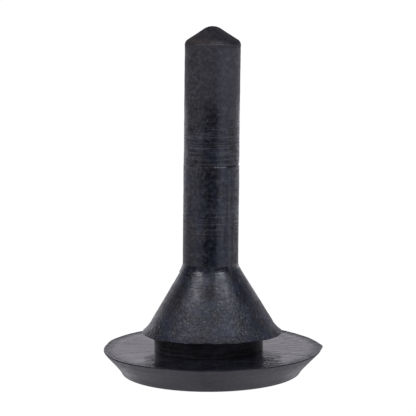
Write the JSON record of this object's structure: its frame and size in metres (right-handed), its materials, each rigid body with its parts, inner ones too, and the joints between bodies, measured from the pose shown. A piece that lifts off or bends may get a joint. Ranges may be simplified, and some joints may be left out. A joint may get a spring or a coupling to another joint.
{
  "type": "pull-through rubber bumper plug",
  "caption": "Moulded rubber bumper plug: flat head disc, grooved neck for a panel hole, retaining cone and a flexible pull stem with a drill-point tip.",
  "frame": {"origin": "centre of the head's flat resting face", "axes": "+Z from the resting face up the stem to the tip, along the axis of symmetry; +X and +Y across the head, with the front towards -Y"},
  "size_m": [0.0254, 0.0254, 0.0406],
  "materials": {
    "head_rubber": "semi-gloss moulded black rubber",
    "neck_rubber": "semi-gloss moulded black rubber",
    "cone_rubber": "semi-gloss black rubber with a bluish bloom",
    "stem_rubber": "satin black rubber with fine turned lines",
    "tip_rubber": "matt black rubber"
  },
  "bodies": {
    "plug_base": {"head_disc": "head_rubber", "neck": "neck_rubber", "retaining_cone": "cone_rubber", "stem_flex_lower": "stem_rubber"},
    "stem_middle": {"stem_mid": "stem_rubber", "stem_flex_upper": "stem_rubber"},
    "stem_end": {"stem_top": "stem_rubber", "stem_tip": "tip_rubber"}
  },
  "joints": [
    {"name": "stem_bend_lower", "type": "hinge", "parent": "plug_base", "child": "stem_middle", "pos_m": [0, 0, 0.01715], "axis": [0, 1, 0], "range_deg": [-75, 75], "stiffness_Nm_per_rad": 0.0296, "deforming": ["stem_flex_lower"]},
    {"name": "stem_bend_upper", "type": "hinge", "parent": "stem_middle", "child": "stem_end", "pos_m": [0, 0, 0.032], "axis": [1, 0, 0], "range_deg": [-60, 60], "stiffness_Nm_per_rad": 0.0349, "deforming": ["stem_flex_upper"]}
  ]
}
